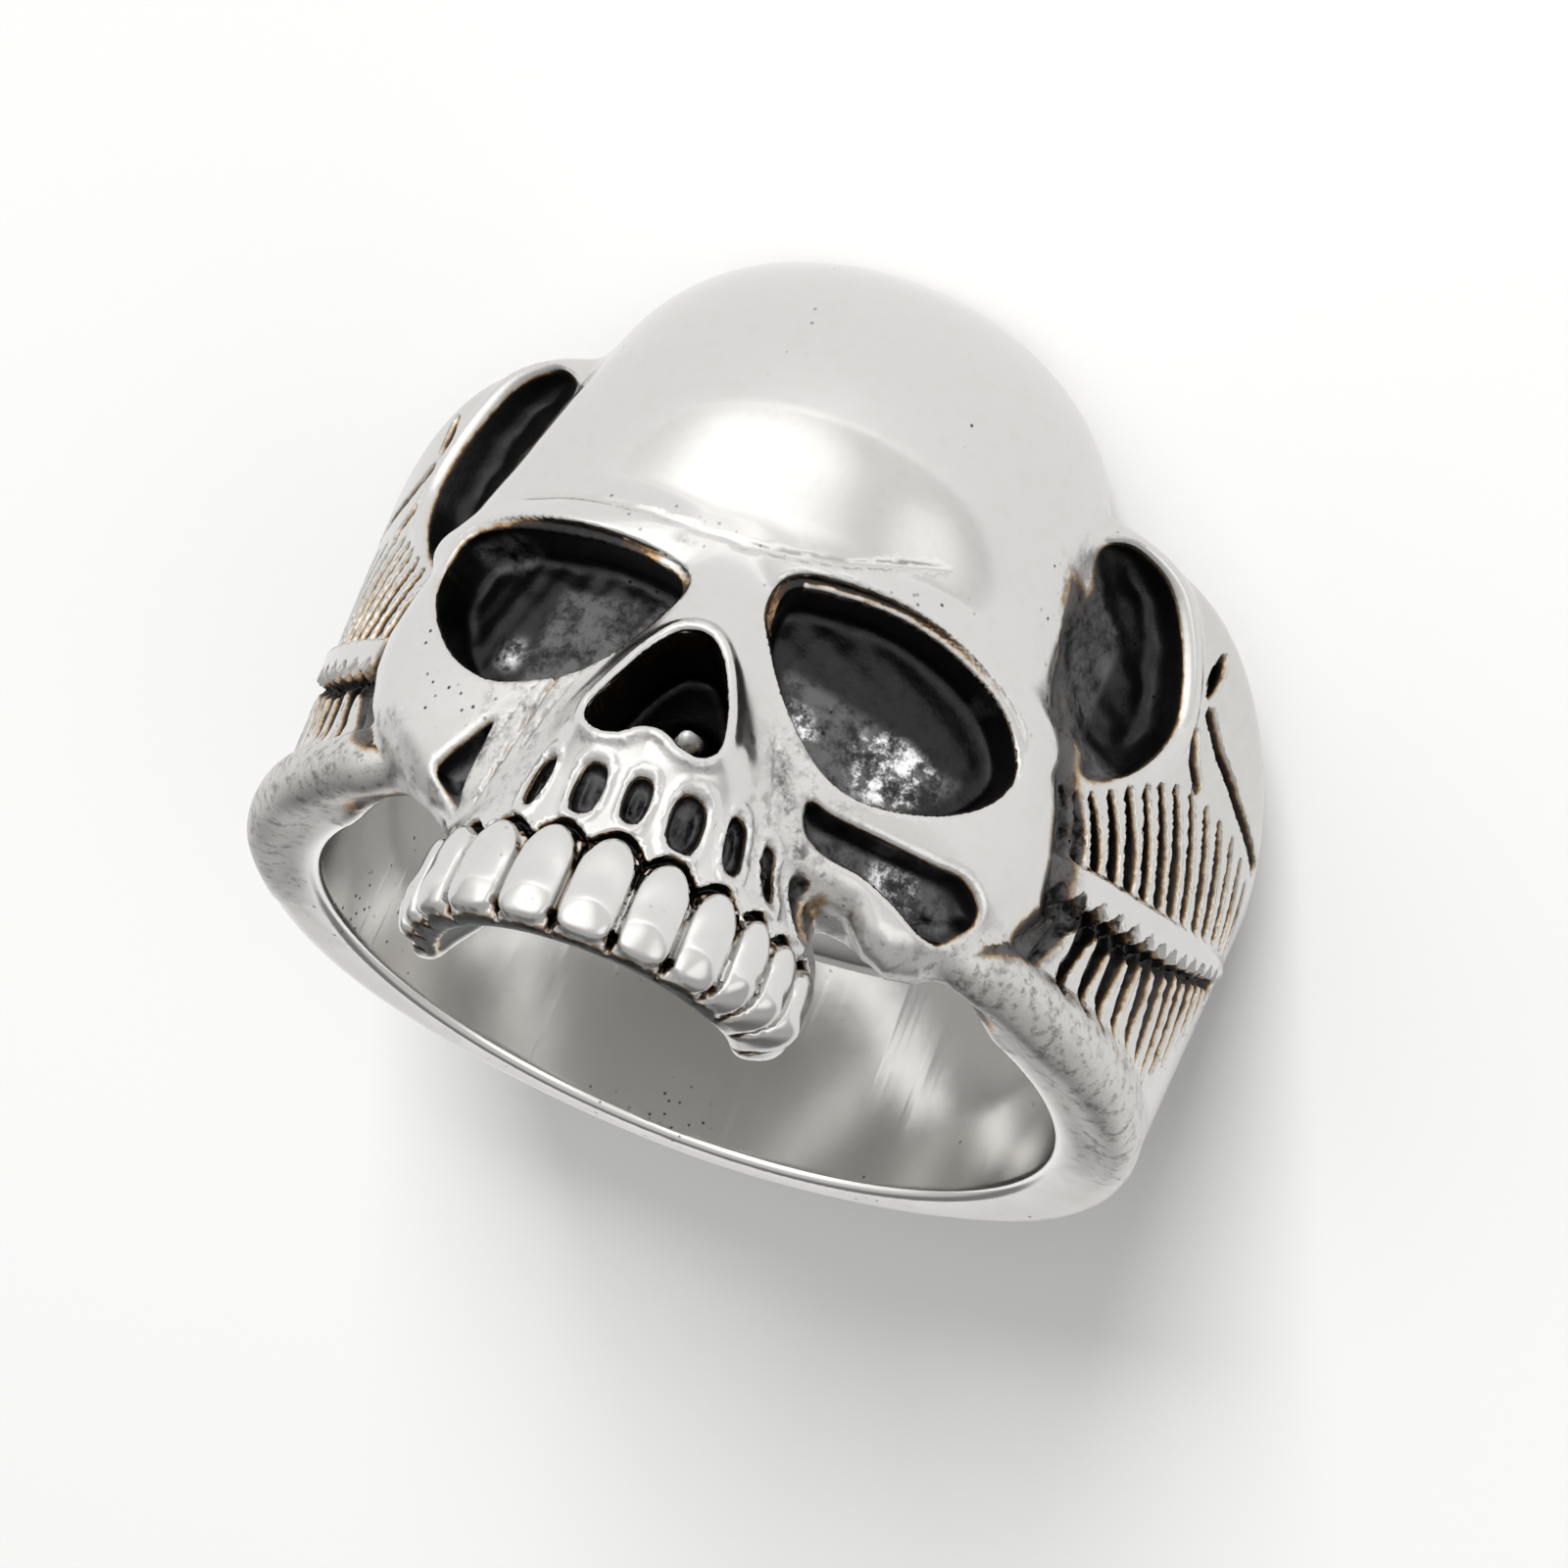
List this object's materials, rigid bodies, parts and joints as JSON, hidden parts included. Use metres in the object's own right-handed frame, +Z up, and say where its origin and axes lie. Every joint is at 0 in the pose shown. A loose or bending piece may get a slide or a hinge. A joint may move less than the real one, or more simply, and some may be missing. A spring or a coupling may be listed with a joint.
{
  "type": "skull ring",
  "caption": "Cast silver finger ring with a skull in front, pierced-look windows and feathered shoulders beside it, and a smooth plain shank behind.",
  "frame": {"origin": "middle of the lowest face of the box round the ring, as it lies on its crown side on a table", "axes": "+Z up from the table, -Y the way the face looks, +X across the face; the skull's chin points up and forward, and the finger hole's axis leans 24 degrees from +Z towards +Y"},
  "size_m": [0.0276, 0.0302, 0.0214],
  "materials": {
    "silver": "polished sterling silver, with blackened recesses"
  },
  "bodies": {
    "root": {"skull_ring": "silver"}
  },
  "joints": []
}
